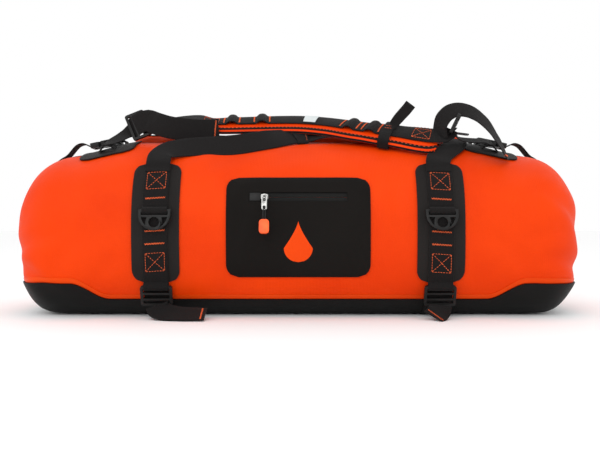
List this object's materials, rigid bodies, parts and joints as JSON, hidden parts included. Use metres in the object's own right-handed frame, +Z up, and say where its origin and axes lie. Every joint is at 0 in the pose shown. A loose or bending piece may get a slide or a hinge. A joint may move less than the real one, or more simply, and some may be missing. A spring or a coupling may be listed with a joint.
{
  "type": "waterproof duffel camera bag",
  "caption": "Long waterproof duffel camera bag: coated orange tube, black base, top zip, zipped front pocket, carry handles, padded shoulder strap and buckled end straps.",
  "frame": {"origin": "centre of the flat base, on the ground", "axes": "+X along the bag to its right end seen from the pocket side, -Y towards the pocket side, +Z up"},
  "size_m": [0.92, 0.3628, 0.3427],
  "materials": {
    "coated_fabric_orange": "satin coated weave",
    "coated_fabric_black": "satin coated weave",
    "webbing_black": "woven",
    "moulded_plastic_black": "satin",
    "zip_metal": "polished",
    "rubber_orange": "satin",
    "board_black": "matt",
    "label_grey": "woven",
    "zip_tape_black": "coated, water resistant"
  },
  "bodies": {
    "bag": {"base_board": "board_black", "base_panel": "coated_fabric_black", "base_strap_left": "webbing_black", "base_strap_right": "webbing_black", "base_strap_tail_left": "webbing_black", "base_strap_tail_right": "webbing_black", "body_tube": "coated_fabric_orange", "daisy_webbing_back_left": "webbing_black", "daisy_webbing_back_right": "webbing_black", "daisy_webbing_front_left": "webbing_black", "daisy_webbing_front_right": "webbing_black", "end_buckle_socket_left": "moulded_plastic_black", "end_buckle_socket_right": "moulded_plastic_black", "end_panel_left": "coated_fabric_orange", "end_panel_right": "coated_fabric_orange", "end_strap_left": "webbing_black", "end_strap_right": "webbing_black", "end_strap_slack_left": "webbing_black", "end_strap_slack_right": "webbing_black", "main_zip_tape_back": "zip_tape_black", "main_zip_tape_front": "zip_tape_black", "pocket_panel": "coated_fabric_black", "pocket_zip_garage": "moulded_plastic_black", "pocket_zip_tape_lower": "zip_tape_black", "pocket_zip_tape_upper": "zip_tape_black", "strap_anchor_left": "webbing_black", "strap_anchor_right": "webbing_black", "strap_pad_back_left": "coated_fabric_black", "strap_pad_back_right": "coated_fabric_black", "strap_pad_front_left": "coated_fabric_black", "strap_pad_front_right": "coated_fabric_black", "top_patch_left": "coated_fabric_black", "top_patch_right": "coated_fabric_black", "zip_gusset": "coated_fabric_orange"},
    "main_slider": {"main_zip_slider": "zip_metal"},
    "main_pull": {"main_zip_pull": "moulded_plastic_black"},
    "pocket_slider": {"pocket_zip_slider": "zip_metal"},
    "pocket_pull": {"pocket_zip_pull": "zip_metal", "pocket_pull_cord": "webbing_black", "pocket_pull_tab": "rubber_orange"},
    "ring_front_left": {"d_ring_front_left": "moulded_plastic_black"},
    "lock_front_left": {"side_lock_front_left": "moulded_plastic_black"},
    "ring_front_right": {"d_ring_front_right": "moulded_plastic_black"},
    "lock_front_right": {"side_lock_front_right": "moulded_plastic_black"},
    "ring_back_left": {"d_ring_back_left": "moulded_plastic_black"},
    "lock_back_left": {"side_lock_back_left": "moulded_plastic_black"},
    "ring_back_right": {"d_ring_back_right": "moulded_plastic_black"},
    "lock_back_right": {"side_lock_back_right": "moulded_plastic_black"},
    "plug_left": {"end_buckle_plug_left": "moulded_plastic_black"},
    "plug_right": {"end_buckle_plug_right": "moulded_plastic_black"},
    "front_handle": {"front_handle": "webbing_black"},
    "back_handle": {"back_handle": "webbing_black"},
    "shoulder_strap": {"shoulder_pad": "coated_fabric_orange", "shoulder_webbing": "webbing_black", "strap_label": "label_grey", "strap_keeper": "webbing_black", "strap_lock_left": "moulded_plastic_black", "strap_lock_right": "moulded_plastic_black", "strap_tail_left": "webbing_black", "strap_tail_right": "webbing_black"}
  },
  "joints": [
    {"name": "main_zip_slide", "type": "slide", "parent": "bag", "child": "main_slider", "axis": [1, 0, 0], "range_m": [-0.526, 0]},
    {"name": "main_pull_flip", "type": "hinge", "parent": "main_slider", "child": "main_pull", "pos_m": [0.265, 0, 0.3058], "axis": [0, 1, 0], "range_deg": [-125, 0]},
    {"name": "pocket_zip_slide", "type": "slide", "parent": "bag", "child": "pocket_slider", "axis": [1, 0, 0], "range_m": [0, 0.119]},
    {"name": "pocket_pull_flip", "type": "hinge", "parent": "pocket_slider", "child": "pocket_pull", "pos_m": [-0.0515, -0.16295, 0.18826], "axis": [1, 0, 0], "range_deg": [-110, 0]},
    {"name": "ring_flip_front_left", "type": "hinge", "parent": "bag", "child": "ring_front_left", "pos_m": [-0.218, -0.16605, 0.16594], "axis": [1, 0, 0], "range_deg": [-100, 0]},
    {"name": "lock_tilt_front_left", "type": "hinge", "parent": "bag", "child": "lock_front_left", "pos_m": [-0.218, -0.15504, 0.04881], "axis": [1, 0, 0], "range_deg": [-35, 0]},
    {"name": "ring_flip_front_right", "type": "hinge", "parent": "bag", "child": "ring_front_right", "pos_m": [0.218, -0.16605, 0.16594], "axis": [1, 0, 0], "range_deg": [-100, 0]},
    {"name": "lock_tilt_front_right", "type": "hinge", "parent": "bag", "child": "lock_front_right", "pos_m": [0.218, -0.15504, 0.04881], "axis": [1, 0, 0], "range_deg": [-35, 0]},
    {"name": "ring_flip_back_left", "type": "hinge", "parent": "bag", "child": "ring_back_left", "pos_m": [-0.218, 0.16605, 0.16594], "axis": [1, 0, 0], "range_deg": [0, 100]},
    {"name": "lock_tilt_back_left", "type": "hinge", "parent": "bag", "child": "lock_back_left", "pos_m": [-0.218, 0.15504, 0.04881], "axis": [1, 0, 0], "range_deg": [0, 35]},
    {"name": "ring_flip_back_right", "type": "hinge", "parent": "bag", "child": "ring_back_right", "pos_m": [0.218, 0.16605, 0.16594], "axis": [1, 0, 0], "range_deg": [0, 100]},
    {"name": "lock_tilt_back_right", "type": "hinge", "parent": "bag", "child": "lock_back_right", "pos_m": [0.218, 0.15504, 0.04881], "axis": [1, 0, 0], "range_deg": [0, 35]},
    {"name": "end_buckle_release_left", "type": "slide", "parent": "bag", "child": "plug_left", "axis": [-0.9801, 0, -0.1987], "range_m": [0, 0.03], "deforming": ["end_strap_slack_left"]},
    {"name": "end_buckle_release_right", "type": "slide", "parent": "bag", "child": "plug_right", "axis": [0.9801, 0, -0.1987], "range_m": [0, 0.03], "deforming": ["end_strap_slack_right"]},
    {"name": "shoulder_strap_lift", "type": "slide", "parent": "bag", "child": "shoulder_strap", "axis": [0, 0, 1], "range_m": [0, 0.12]},
    {"name": "front_handle_swing", "type": "hinge", "parent": "bag", "child": "front_handle", "pos_m": [0, -0.13529, 0.24322], "axis": [1, 0, 0], "range_deg": [0, 60]},
    {"name": "back_handle_swing", "type": "hinge", "parent": "bag", "child": "back_handle", "pos_m": [0, 0.13397, 0.24208], "axis": [1, 0, 0], "range_deg": [-120, 0]}
  ],
  "couplings": [
    {"joint": "front_handle_swing", "follows": "shoulder_strap_lift", "rad_per_m": 8.7}
  ]
}
